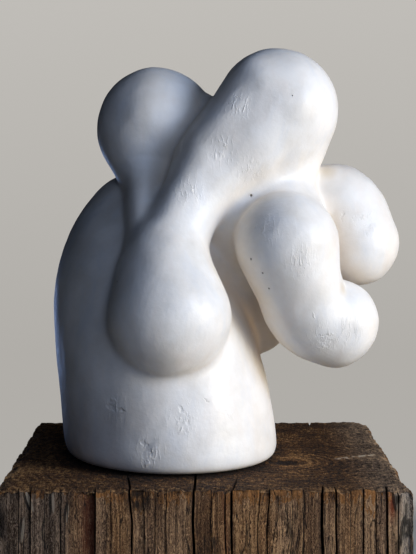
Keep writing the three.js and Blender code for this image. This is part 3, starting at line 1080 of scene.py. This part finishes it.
@dataclass
class TimberPlinth:
    """The upright block of old timber: a closed shell of four sides, a worn edge and the end grain.

    Attributes:
        side_finish: Finish of the sides.
        end_finish: Finish of the two ends.
        half: Half its width.
        height: Its height.
        across: Even spacing of the columns along the front and back.
        back_to_front: Even spacing of the columns along the other two sides.
        edge_height: Height of the worn edge, in which the last rows turn over.
        edge_drop: Usual drop of the worn edge.
        edge_inset: Usual width of the worn edge.
        heart: x and y of the growth rings' middle.
        knot: The knot in the front.
        torn_at: Middle of the burst place at the front's top.
        groove: Where the front's old groove starts, is full, starts to close and ends.
        wane: Where the front's silvered edge starts and is full, in colour.
        front_flare: The same for its shape, on the front.
        right_flare: The same on the right side, from that side's left.
        dust: x and y of the two ends of the dusty streak on the top.
        foot: x, y and the two radii of the figure's foot, round which the top is painted darker as contact
            shadow.
        corner_wear: How worn each corner is, from the front left one round by the right.
    """

    side_finish: SideGrain = field(default_factory=SideGrain)
    end_finish: EndGrain = field(default_factory=EndGrain)
    half: float = 162.0
    height: float = PLINTH_TOP
    across: float = 1.6
    back_to_front: float = 2.4
    edge_height: float = 4.5
    edge_drop: float = 3.6
    edge_inset: float = 2.8
    heart: tuple[float, float] = (71.6, -49.0)
    knot: Mark = Mark(57.4, -162.0, 128.0, 6.5)
    torn_at: float = -48.0
    groove: tuple[float, float, float, float] = (-98.0, -85.0, -83.6, -82.2)
    wane: tuple[float, float] = (147.0, 150.0)
    front_flare: tuple[float, float] = (140.0, 156.0)
    right_flare: tuple[float, float] = (144.0, 158.0)
    dust: tuple[tuple[float, float], tuple[float, float]] = ((117.0, -34.0), (145.5, -16.0))
    foot: tuple[float, float, float, float] = (-27.0, -13.0, 92.0, 106.0)
    corner_wear: tuple[float, float, float, float] = (7.0, 3.0, 30.0, 20.0)

    def stations(self, spacing: float, faces: tuple[Face, Face]) -> np.ndarray:
        """Places of the columns along two opposite sides.

        They are even, with five more at each of the front's splits and three at each other split, and
        an even one that stands too near to one of those is left out.

        Args:
            spacing: The even spacing.
            faces: The side that reads from low to high, and the one across from it.

        Returns:
            Places from minus half to half, in order.
        """
        even = np.linspace(-self.half, self.half, int(round(2 * self.half / spacing)) + 1)
        fine, plain = np.array([-0.5, -0.25, 0.0, 0.25, 0.5]), np.array([-0.5, 0.0, 0.5])
        shares = fine if faces[0] is Face.FRONT else plain
        near = [split.at + split.mouth * shares for split in SPLITS[faces[0]]]
        far = [-(split.at + split.mouth * plain) for split in SPLITS[faces[1]]]
        extra = np.unique(np.round(np.concatenate(near + far), 3))
        kept = np.concatenate([extra[:1], extra[1:][np.diff(extra) > 0.12]])
        clear = np.abs(even[:, None] - kept[None, :]).min(axis=1) > 0.5
        clear[[0, -1]] = True
        return np.sort(np.concatenate([even[clear], kept]))

    def outline(self, x: np.ndarray, y: np.ndarray, inset: np.ndarray) -> np.ndarray:
        """Plan of the block: a square pulled in at its edges by the inset and at its corners by their wear.

        Args:
            x: Place across, from minus half to half.
            y: Place back to front.
            inset: How far the edge is worn in, which fades within a few millimetres of the edge.

        Returns:
            The x and y in plan.
        """
        u, v = np.abs(x) / self.half, np.abs(y) / self.half
        front_left, front_right, back_right, back_left = self.corner_wear
        wear = np.where(y < 0, np.where(x < 0, front_left, front_right),
                        np.where(x < 0, back_left, back_right))
        pull = 1 - 0.3 * wear / self.half * (u * v) ** 18
        worn = np.stack([x - np.sign(x) * inset * u ** 24, y - np.sign(y) * inset * v ** 24], axis=-1)
        return worn * pull[..., None]

    def wander(self, along: np.ndarray, level: np.ndarray, face: Face) -> np.ndarray:
        """How far the grain has wandered sideways at each height, nothing at the corners.

        On the front it also bows out round the knot, and to the left near the top of the bent split.
        """
        places = np.stack([along, level], axis=-1)
        sway = 1.5 * noise(places, (55.0, 75.0), 51 + face.value)
        sway = sway + 0.5 * noise(places, (24.0, 26.0), 52 + face.value)
        if face is Face.FRONT:
            gap = along - self.knot.x
            rise = level - self.knot.z
            sway = sway + 0.45 * gap * np.exp(-(gap ** 2 + (rise / 1.6) ** 2) / 150)
            sway = sway - 2.2 * np.exp(-((along - BENT_SPLIT) / 13) ** 2) * smooth_step(132.0, 158.0, level)
        return sway * (1 - (np.abs(along) / self.half) ** 16)

    def tone(self, along: np.ndarray, face: Face, seed: int) -> np.ndarray:
        """One random value for each strip of grain between two cracks."""
        edges = np.array(sorted(split.at for split in SPLITS[face]))
        strip = np.searchsorted(edges, along)
        return hashed(np.stack([strip, np.full_like(strip, face.value)], axis=-1), seed)

    def grooved(self, along: np.ndarray) -> np.ndarray:
        """The front's old groove: a slow rise from the left to 1, and a sharp end."""
        start, full, close, end = self.groove
        return smooth_step(start, full, along) * (1 - smooth_step(close, end, along))

    def burst(self, along: np.ndarray) -> np.ndarray:
        """The burst place at the front's top: a flat-topped bell that reaches 9 mm to each side."""
        return np.exp(-((along - self.torn_at) / 9) ** 4)

    def heartwood(self, plan: np.ndarray) -> np.ndarray:
        """The dark lens at the heart of the rings: a bell 10 mm by 8 mm."""
        across, back = plan[..., 0] - self.heart[0], plan[..., 1] - self.heart[1]
        return np.exp(-(across / 10) ** 2 - (back / 8) ** 2)

    def side_depth(self, along: np.ndarray, level: np.ndarray, plan: np.ndarray, face: Face) -> np.ndarray:
        """How far a side's surface lies behind the square block.

        A broad warp, one depth for each strip, ridges drawn out along the grain, and torn ends at the
        top. The front adds its groove, the knot's ring and the burst place, and the corner between the
        front and the right side flares out ragged.

        Args:
            along: Place along the face.
            level: Height.
            plan: x and y of the square block there.
            face: Which side.

        Returns:
            Depths in millimetres, below zero only where the right side flares.
        """
        solid = np.concatenate([plan, level[..., None]], axis=-1)
        broad = 0.6 + 0.6 * noise(solid, (70.0, 70.0, 150.0), 61)
        strip = 0.6 + 0.6 * self.tone(along, face, 62)
        ridges = 0.35 + 0.35 * noise(solid, (4.6, 4.6, 60.0), 63) + 0.2 * noise(solid, (3.2, 3.2, 16.0), 64)
        torn = 0.9 + 0.9 * noise(solid, (5.0, 5.0, 9.0), 65)
        torn = torn * smooth_step(self.height - 16, self.height, level)
        depth = broad + strip + ridges + torn * (1.0 + 0.5 * self.tone(along, face, 66))
        if face is Face.FRONT:
            away = np.hypot(along - self.knot.x, (level - self.knot.z) / 1.3)
            ring = np.exp(-((away - self.knot.radius) / 2.0) ** 2)
            depth = depth + 3.2 * self.grooved(along) + 1.6 * ring
            burst = self.burst(along) * smooth_step(self.height - 18, self.height - 8, level)
            depth = depth + burst * (1.8 + 1.4 * noise(solid, (2.8, 2.8, 4.0), 70))
        corner = smooth_step(0.9, 1.0, np.abs(along) / self.half)
        ragged = np.clip(noise(solid, (3.6, 3.6, 22.0), 67) + 0.2, 0, 1) * 3.2
        depth = depth + corner * ragged
        if face is Face.FRONT:
            flare = smooth_step(*self.front_flare, along)
            depth = depth * (1 - flare) + flare * (1.2 + 1.6 * noise(solid, (3.4, 3.4, 20.0), 68))
        if face is Face.RIGHT:
            flare = smooth_step(*self.right_flare, -along)
            depth = depth * (1 - flare) + flare * (-0.6 + 1.7 * noise(solid, (3.4, 3.4, 13.0), 68))
            return np.maximum(depth, -2.4 * flare)
        return np.maximum(depth, 0.0)

    def top_depth(self, plan: np.ndarray) -> np.ndarray:
        """How far the end grain lies below the block's top.

        A broad hollow, faint growth rings round the heart, torn pores, wear towards the edges, and
        what has broken off there.

        Args:
            plan: x and y.

        Returns:
            Depths in millimetres, never below zero.
        """
        away = np.linalg.norm(plan - np.array(self.heart), axis=-1)
        swayed = away + 5 * noise(plan, 38.0, 71)
        rings = 0.12 * np.sin(2 * math.pi * swayed / 6.4)
        broad = 0.35 + 0.3 * noise(plan, 60.0, 72)
        torn = 0.18 * noise(plan, 5.0, 73) + 0.12 * noise(plan, 3.4, 74)
        edge = self.half - np.abs(plan).max(axis=-1)
        ragged = np.exp(-np.maximum(edge, 0) / 7) * (0.9 + 0.9 * noise(plan, 6.0, 75))
        lens = 2.6 * self.heartwood(plan)
        return np.maximum(0.3 + broad + rings + torn + ragged + lens, 0.0) + self.chips(plan)

    def chips(self, plan: np.ndarray) -> np.ndarray:
        """How far each strip of grain has broken down at the top's edges, fading a few millimetres back."""
        solid = np.concatenate([plan, np.zeros_like(plan[..., :1])], axis=-1)
        total = np.zeros(plan.shape[:-1])
        for face in Face:
            local = turned(solid, -face.value)
            fine = 1.1 * noise(local[..., :1] * np.ones(2), (3.2, 3.2), 76 + face.value)
            lost = np.clip(1.0 + 1.9 * self.tone(local[..., 0], face, 88) + 1.2 * fine, 0.0, 4.2)
            behind = np.maximum(local[..., 1] + self.half - 3, 0)
            total = np.maximum(total, lost * np.exp(-(behind / 4.5) ** 2))
        return total

    def cut(self, points: np.ndarray, along: np.ndarray, back: np.ndarray, face: Face) -> np.ndarray:
        """Opens a face's splits in the points of that side or of the top.

        Within a split a point moves in to its depth and down to its drop, both full at the split's
        middle, nothing at its lips, and the drop fades along its reach.

        Args:
            points: Points, changed in place.
            along: Place along the face before any wander.
            back: Distance behind the face, nothing on the side itself.
            face: The side that the splits open on.

        Returns:
            How far each point is down a split, 1 at the bottom.
        """
        local = turned(points, -face.value)
        deepest = np.zeros(len(points))
        for split in SPLITS[face]:
            fade = np.clip(1 - back / split.reach, 0.0, 1.0)
            lips = np.maximum(split.mouth / 2 * np.maximum(fade, 0.05) ** 0.4, 1e-3)
            share = np.clip(1 - np.abs(along - split.at) / lips, 0.0, 1.0) ** 0.6 * (fade > 0)
            inside = share > 0
            wall = np.where(inside, -self.half + split.depth * share, -np.inf)
            local[:, 1] = np.maximum(local[:, 1], wall)
            if back.any():
                bottom = np.where(inside, self.height - split.drop * share * fade, np.inf)
                local[:, 2] = np.minimum(local[:, 2], bottom)
            deepest = np.maximum(deepest, share)
        points[:] = turned(local, face.value)
        return deepest

    def drift(self, along: np.ndarray, back: np.ndarray, face: Face) -> np.ndarray:
        """How far the top's columns lean sideways to follow the splits of one face."""
        total = self.wander(along, np.full_like(along, self.height), face) * np.exp(-back / 14)
        for split in SPLITS[face]:
            lean = split.drift * np.clip(back / split.reach, 0.0, 1.0)
            lean = lean * np.exp(-np.maximum(back - split.reach, 0) / 20)
            total = total + lean * np.exp(-((along - split.at) / 15) ** 2)
        return total

    def side_net(self, columns: Columns) -> tuple[np.ndarray, np.ndarray]:
        """The sides' points: straight rows up to the worn edge, then four that turn over it.

        Args:
            columns: The columns round the block.

        Returns:
            The points by row and column, and how far each is down a split.
        """
        x, y = columns.ring.T
        solid = np.concatenate([columns.ring, np.full((len(x), 1), self.height)], axis=-1)
        drop = self.edge_drop * (1 + 0.55 * noise(solid, 4.2, 81) + 0.35 * noise(solid, 17.0, 82))
        inset = self.edge_inset * (1 + 0.5 * noise(solid, 4.0, 83) + 0.4 * noise(solid, 20.0, 84))
        for face in Face:
            mine = columns.on(face)
            drop[mine] += 1.6 * self.tone(columns.along[mine], face, 85)
        chipped = 9 * np.clip(noise(solid, 7.0, 86) - 0.1, 0, 1)
        drop = np.clip(drop + chipped * np.where(columns.on(Face.FRONT), 1.0, 0.6), 0.6, 7.0)
        inset = np.clip(inset + 1.5 * noise(solid, 14.0, 87), 0.4, 6.0)
        brink = self.height - self.top_depth(self.outline(x, y, np.full(len(x), self.edge_inset)))

        edge = self.height - self.edge_height
        levels = np.concatenate([[0.0, 1.2], np.linspace(5, 112, 16), np.linspace(115, edge, 17)])
        rows = [(np.zeros(len(x)), level / edge * (brink - drop)) for level in levels[:-1]]
        rows += [(inset * (1 - math.cos(turn)), brink - drop * (1 - math.sin(turn)))
                 for turn in np.radians([0, 30, 60, 90])]
        points, gaps = [], []
        for worn, z in rows:
            row = np.concatenate([self.outline(x, y, worn), z[:, None]], axis=-1)
            gap = np.zeros(len(x))
            for face in Face:
                mine = columns.on(face)
                place, height = columns.along[mine], row[mine, 2]
                local = turned(row[mine], -face.value)
                local[:, 0] += self.wander(place, height, face)
                local[:, 1] += self.side_depth(place, height, columns.ring[mine], face)
                part = turned(local, face.value)
                gap[mine] = self.cut(part, place, np.zeros(len(place)), face)
                row[mine] = part
            points.append(row)
            gaps.append(gap)
        return np.stack(points), np.stack(gaps)

    def top_net(self, xs: np.ndarray, ys: np.ndarray) -> tuple[np.ndarray, np.ndarray]:
        """The top's points: a net over the square, worn down, leaning along its splits and opened there.

        Args:
            xs: Columns across.
            ys: Columns back to front.

        Returns:
            The points, with y running fastest, and how far each is down a split.
        """
        x, y = (grid.ravel() for grid in np.meshgrid(xs, ys, indexing="ij"))
        blank = np.zeros(x.shape)
        plan = self.outline(x, y, self.edge_inset + blank)
        top = np.concatenate([plan, (self.height - self.top_depth(plan))[:, None]], axis=-1)
        gap = blank.copy()
        local = {face: turned(np.stack([x, y, blank], axis=-1), -face.value) for face in Face}
        for face, place in local.items():
            lean = self.drift(place[:, 0], place[:, 1] + self.half, face)
            top += turned(np.stack([lean, blank, blank], axis=-1), face.value)
        for face, place in local.items():
            gap = np.maximum(gap, self.cut(top, place[:, 0], place[:, 1] + self.half, face))
        return top, gap

    def build(self) -> bpy.types.Object:
        """Builds and dresses the block, and reports it.

        The top's rim is the last row of the sides, and one face closes the flat underside.
        """
        xs = self.stations(self.across, (Face.FRONT, Face.BACK))
        ys = self.stations(self.back_to_front, (Face.RIGHT, Face.LEFT))
        nx, ny = len(xs) - 1, len(ys) - 1
        x = np.concatenate([xs[:-1], np.full(ny, self.half), xs[:0:-1], np.full(ny, -self.half)])
        y = np.concatenate([np.full(nx, -self.half), ys[:-1], np.full(nx, self.half), ys[:0:-1]])
        along = np.concatenate([xs[:-1], ys[:-1], -xs[:0:-1], -ys[:0:-1]])
        columns = Columns(np.stack([x, y], axis=-1), along, np.repeat([0, 1, 2, 3], [nx, ny, nx, ny]))
        sides, side_gap = self.side_net(columns)
        top, top_gap = self.top_net(xs, ys)
        rows, count = side_gap.shape
        rim = np.concatenate([np.arange(nx) * (ny + 1), nx * (ny + 1) + np.arange(ny),
                              (nx - np.arange(nx)) * (ny + 1) + ny, ny - np.arange(ny)])
        sides[-1, :, 2] = np.minimum(sides[-1, :, 2], top[rim, 2] + 0.4)

        number = np.full(len(top), -1)
        number[rim] = (rows - 1) * count + np.arange(count)
        inner = number < 0
        number[inner] = rows * count + np.arange(int(inner.sum()))
        every = np.concatenate([sides.reshape(-1, 3), top[inner]])
        j, i = np.meshgrid(np.arange(rows - 1), np.arange(count), indexing="ij")
        k = (i + 1) % count
        side_quads = np.stack([j * count + i, j * count + k, (j + 1) * count + k, (j + 1) * count + i],
                              axis=-1).reshape(-1, 4)
        p, q = np.meshgrid(np.arange(nx), np.arange(ny), indexing="ij")
        corner = p * (ny + 1) + q
        top_quads = number[np.stack([corner, corner + ny + 1, corner + ny + 2, corner + 1],
                                    axis=-1).reshape(-1, 4)]
        under = np.arange(count)[::-1]
        faces = side_quads.tolist() + top_quads.tolist() + [under.tolist()]

        piece = mesh_object("timber_block", every, faces,
                            [self.side_finish.material(), self.end_finish.material(self.heart)])
        mesh = piece.data
        is_end = np.arange(len(faces)) >= len(side_quads)
        mesh.polygons.foreach_set("material_index", is_end.astype(np.int32))
        mesh.polygons.foreach_set("use_smooth", np.ones(len(faces), dtype=bool))
        mesh.set_sharp_from_angle(angle=math.radians(42))
        grain = np.concatenate([self.side_map(columns, sides), every[top_quads.ravel(), :2],
                                every[under, :2]]) * MM
        mesh.uv_layers.new(name="along_grain").data.foreach_set("uv", grain.ravel().astype(np.float32))
        side_values = self.side_values(sides, side_gap, columns)
        top_values = self.top_values(top[inner, :2], top_gap[inner])
        for name, values in side_values.items():
            add_values(mesh, name, np.concatenate([values.ravel(), top_values[name]]))
        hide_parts("timber_plinth")
        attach(piece, "root")
        LOG.info("%s: %d points, %d faces", piece.name, len(every), len(faces))
        return piece

    def side_map(self, columns: Columns, sides: np.ndarray) -> np.ndarray:
        """Each side face's four corners on the map: the way round the block, and the height.

        Args:
            columns: The columns round the block.
            sides: The sides' points by row and column.

        Returns:
            Two numbers in millimetres for each corner of each face.
        """
        ring = np.vstack([columns.ring, columns.ring[:1]])
        round_it = np.concatenate([[0.0], np.cumsum(np.linalg.norm(np.diff(ring, axis=0), axis=1))])
        here, following = sides[:, :, 2], np.roll(sides[:, :, 2], -1, axis=1)
        start = np.broadcast_to(round_it[:-1], here[1:].shape)
        end = np.broadcast_to(round_it[1:], here[1:].shape)
        corners = [(start, here[:-1]), (end, following[:-1]), (end, following[1:]), (start, here[1:])]
        return np.stack([np.stack(corner, axis=-1) for corner in corners], axis=2).reshape(-1, 2)

    def side_values(self, sides: np.ndarray, gap: np.ndarray, columns: Columns) -> dict[str, np.ndarray]:
        """What the side grain's finish reads at each point.

        Args:
            sides: The sides' points by row and column.
            gap: How far each is down a split.
            columns: The columns round the block.

        Returns:
            By name: how much painted shade a gap or hollow gets, how far down the torn ends reach in metres,
            the strip's tone, and how grey and how rusty it is.
        """
        level = sides[:, :, 2]
        place = np.broadcast_to(columns.along, level.shape)
        front = np.broadcast_to(columns.on(Face.FRONT), level.shape)
        strip = np.zeros(level.shape)
        for face in Face:
            mine = columns.on(face)
            strip[:, mine] = self.tone(columns.along[mine], face, 91)[None, :]
        mixed = noise(sides, (16.0, 16.0, 60.0), 92)
        corner = smooth_step(0.9, 0.97, np.abs(place) / self.half)
        left = front * (1 - smooth_step(-112.0, -96.0, place))
        waney = front * smooth_step(*self.wane, place)
        groove = front * self.grooved(place)
        grey = np.clip(0.25 + 0.5 * mixed, 0, 1) * np.where(front, 0.22, 0.5)
        grey = np.maximum(np.maximum(grey, corner * np.where(waney > 0, 0.65, 0.4)), left * 0.35)

        # Painted shade of dark holes in the silvered edge and in the burst place
        hollow = waney * smooth_step(0.08, 0.22, noise(sides, (2.7, 2.7, 9.0), 97))
        burst = front * self.burst(place) * smooth_step(self.height - 20, self.height - 13, level)
        hollow = np.maximum(hollow, burst * smooth_step(-0.3, 0.05, noise(sides, (2.8, 2.8, 4.0), 94)))

        strip = strip + 0.5 * mixed - 1.2 * left
        ragged = noise(sides, (4.0, 4.0, 5.0), 95) + noise(sides, (13.0, 13.0, 12.0), 96)
        reach = np.clip(6.5 + 3.5 * ragged + 3.0 * strip, 1.5, 13.0) * (1 - 0.8 * waney)
        reach = reach + 8.0 * front * np.exp(-((place - self.torn_at) / 6) ** 2)

        patch = front * np.exp(-((place - 146.5) / 3.0) ** 2) * smooth_step(128.0, 148.0, level)
        reddish = front * 0.6 * np.exp(-((place - RUSTY_SPLIT) / 2.2) ** 2)
        rust = np.clip(np.maximum(np.maximum(groove * 0.35, patch), reddish * 0.4), 0, 1)
        # The gap value sets the painted shade in the splits and hollows
        return {"gap": np.maximum(np.clip(gap * 1.6, 0, 1), 0.85 * hollow), "reach": reach * MM,
                "strip": strip + 1.9 * waney - 2.0 * groove, "grey": grey, "rust": rust}

    def top_values(self, plan: np.ndarray, gap: np.ndarray) -> dict[str, np.ndarray]:
        """What the end grain's finish reads at each point, by the same names as on the sides.

        Pale worn edges and a dusty streak, a dark heart with a paler ring round it that is a painted
        highlight, and painted contact shadow round the figure's foot.

        Args:
            plan: x and y.
            gap: How far each point is down a split.

        Returns:
            The values by name, of which the reach and the rust are only read on the sides.
        """
        start, end = np.array(self.dust)
        share = np.clip((plan - start) @ (end - start) / ((end - start) @ (end - start)), 0, 1)
        away = np.linalg.norm(plan - (start + share[:, None] * (end - start)), axis=1)
        streak = np.exp(-(away / 3.5) ** 2) * smooth_step(-0.25, 0.25, noise(plan, (3.0, 7.0), 98))
        edge = self.half - np.abs(plan).max(axis=1)
        right = smooth_step(110.0, 150.0, plan[:, 0]) * 0.28
        grey = np.maximum(np.maximum(streak, np.exp(-np.maximum(edge, 0) / 5) * 0.2), right)

        strip = 0.8 * noise(plan, 26.0, 93) + 0.4 * noise(plan, 9.0, 94)
        strip += 3 * streak - 2.5 * self.heartwood(plan)
        # A paler ring round the heart, a painted highlight round its hollow
        ring = np.linalg.norm(plan - np.array(self.heart), axis=1)
        strip += 1.4 * np.exp(-((ring - 19) / 7) ** 2)
        strip += 0.9 * smooth_step(60.0, 140.0, -plan[:, 0])
        worn = np.exp(-(np.maximum(edge - 2, 0) / (3.5 + 2 * noise(plan, 6.0, 99))) ** 2)
        strip += worn * (1.2 + 2.2 * noise(plan, (5.0, 9.0), 100))
        # Painted contact shadow: the top is darker round the figure's foot
        foot = np.linalg.norm((plan - self.foot[:2]) / self.foot[2:], axis=1)
        strip -= 2.6 * np.exp(-(np.maximum(foot - 0.85, 0) / 0.17) ** 2)
        return {"gap": np.clip(gap * 1.6, 0, 1), "reach": np.full(len(plan), 6.0) * MM, "strip": strip,
                "grey": grey, "rust": np.zeros(len(plan))}


# The studio

@dataclass(frozen=True)
class Lamp:
    """A square soft lamp aimed at the figure.

    Attributes:
        name: What it does.
        azimuth: Degrees to the right of the camera, seen from the figure.
        elevation: Degrees above the horizon.
        distance: Metres from the figure.
        size: Side of the square, in metres.
        power: Watts.
        colour: sRGB hex.
    """

    name: str
    azimuth: float
    elevation: float
    distance: float
    size: float
    power: float
    colour: str

    def build(self, aim: tuple[float, float, float]) -> None:
        """Places the lamp and turns it towards the aim."""
        data = bpy.data.lights.new(self.name, "AREA")
        data.shape = "SQUARE"
        data.size = self.size
        data.energy = self.power
        data.color = linear(self.colour)[:3]
        lamp = bpy.data.objects.new(self.name, data)
        turn, rise = math.radians(self.azimuth), math.radians(self.elevation)
        flat = math.cos(rise) * self.distance
        lamp.location = (aim[0] + flat * math.sin(turn), aim[1] - flat * math.cos(turn),
                         aim[2] + math.sin(rise) * self.distance)
        lamp.rotation_euler = Euler((math.pi / 2 - rise, 0.0, turn), "XYZ")
        bpy.context.collection.objects.link(lamp)


@dataclass
class Studio:
    """Camera, lamps, backdrop and floor.

    Attributes:
        aim: Where the lamps point, in metres.
        camera_place: Where the camera stands, in metres.
        pitch: Degrees that it looks down.
        yaw: Degrees that it looks to the right.
        lens: Its focal length in millimetres, on a sensor 36 mm wide.
        lamps: The lamps.
        backdrop: Colours of the backdrop, low and high.
        dim: Colour of the even light from all round.
        ambient: Strength of that light.
        floor_radius: Radius of the floor's disc, in metres.
        floor_fade: Width over which its rim fades out.
        floor_colour: Its colour.
    """

    aim: tuple[float, float, float] = (0.0, 0.0, 0.33)
    camera_place: tuple[float, float, float] = (0.0, -1.314, 0.4049)
    pitch: float = 4.04
    yaw: float = 0.21
    lens: float = 98.8
    lamps: tuple[Lamp, ...] = (
        Lamp("key", 61, 6, 1.8, 0.7, 17.4, "#fff0cc"),
        Lamp("sky", 61, 22, 1.8, 0.7, 18.4, "#c8dcff"),
        Lamp("side", 74, 20, 1.8, 0.7, 1.5, "#fffbf2"),
        Lamp("quarter", 42, 12, 1.8, 0.7, 4.0, "#cfe0ff"),
        Lamp("front", 12, 14, 1.8, 0.7, 4.0, "#c8dbff"),
        Lamp("bounce", 108, -10, 1.8, 0.7, 3.4, "#ffd193"),
        Lamp("rim", -152, -7, 1.8, 0.3, 1.1, "#9ab6f0"),
    )
    backdrop: tuple[str, str] = ("#b0ada8", "#c0bdb8")
    dim: str = "#c6d6f4"
    ambient: float = 0.015
    floor_radius: float = 0.65
    floor_fade: float = 0.2
    floor_colour: str = "#c9c6c0"

    def build(self) -> None:
        """Builds the studio round the sculpture."""
        camera = bpy.data.objects.new("camera", bpy.data.cameras.new("camera"))
        camera.data.lens = self.lens
        camera.data.sensor_width = 36.0
        camera.location = self.camera_place
        camera.rotation_euler = Euler((math.radians(90 - self.pitch), 0.0, math.radians(-self.yaw)), "XYZ")
        bpy.context.collection.objects.link(camera)
        bpy.context.scene.camera = camera
        bpy.context.scene.view_settings.view_transform = "Standard"
        for lamp in self.lamps:
            lamp.build(self.aim)
        self.world()
        self.floor()
        LOG.info("studio: camera, %d lamps, backdrop and floor", len(self.lamps))

    def world(self) -> None:
        """A pale backdrop that only the camera sees, graded by height, and a dim even light for the rest."""
        world = bpy.data.worlds.new("studio")
        world.use_nodes = True
        tree = world.node_tree
        tree.nodes.clear()
        ray = add_node(tree, "TexCoord").outputs["Generated"]
        parts = add_node(tree, "SeparateXYZ", {}, {"Vector": ray})
        height = add_node(tree, "MapRange", {"From Min": -0.12, "From Max": 0.11},
                          {"Value": parts.outputs["Z"]})
        low, high = map(linear, self.backdrop)
        grade = add_node(tree, "Mix", {"data_type": "RGBA", UNDER: low, OVER: high}, {SHARE: height})
        seen = add_node(tree, "Background", {"Strength": 1.0}, {"Color": grade})
        dim = add_node(tree, "Background", {"Color": linear(self.dim), "Strength": self.ambient})
        to_camera = add_node(tree, "LightPath").outputs["Is Camera Ray"]
        both = add_node(tree, "MixShader", {}, {0: to_camera, 1: dim, 2: seen})
        add_node(tree, "OutputWorld", {}, {"Surface": both})
        bpy.context.scene.world = world

    def floor(self) -> None:
        """A plain pale disc under the block, which fades out towards its rim."""
        corners, below = 96, 0.4
        turns = np.linspace(0, 2 * math.pi, corners + 1)[:-1]
        rim = np.stack([np.cos(turns), np.sin(turns), np.zeros(corners)], axis=-1) * self.floor_radius / MM
        material, tree = blank_material("pale_painted_board")
        place = add_node(tree, "TexCoord").outputs["Object"]
        away = add_node(tree, "VectorMath", {"operation": "LENGTH"}, {0: place})
        fade = add_node(tree, "MapRange",
                        {"interpolation_type": "SMOOTHSTEP", "From Min": self.floor_radius - self.floor_fade,
                         "From Max": self.floor_radius, "To Min": 1.0, "To Max": 0.0}, {"Value": away})
        board = add_node(tree, "BsdfPrincipled", {"Base Color": linear(self.floor_colour), "Roughness": 0.8},
                         {"Alpha": fade})
        add_node(tree, "OutputMaterial", {}, {"Surface": board})
        floor = mesh_object("floor", rim - np.array([0, 0, below]), [list(range(corners))], [material])


def main() -> None:
    """Builds the sculpture and its studio, reporting each piece."""
    logging.basicConfig(level=logging.INFO, format="%(name)s: %(message)s")
    PlasterFigure().build()
    TimberPlinth().build()
    Studio().build()


if __name__ == "__main__":
    main()
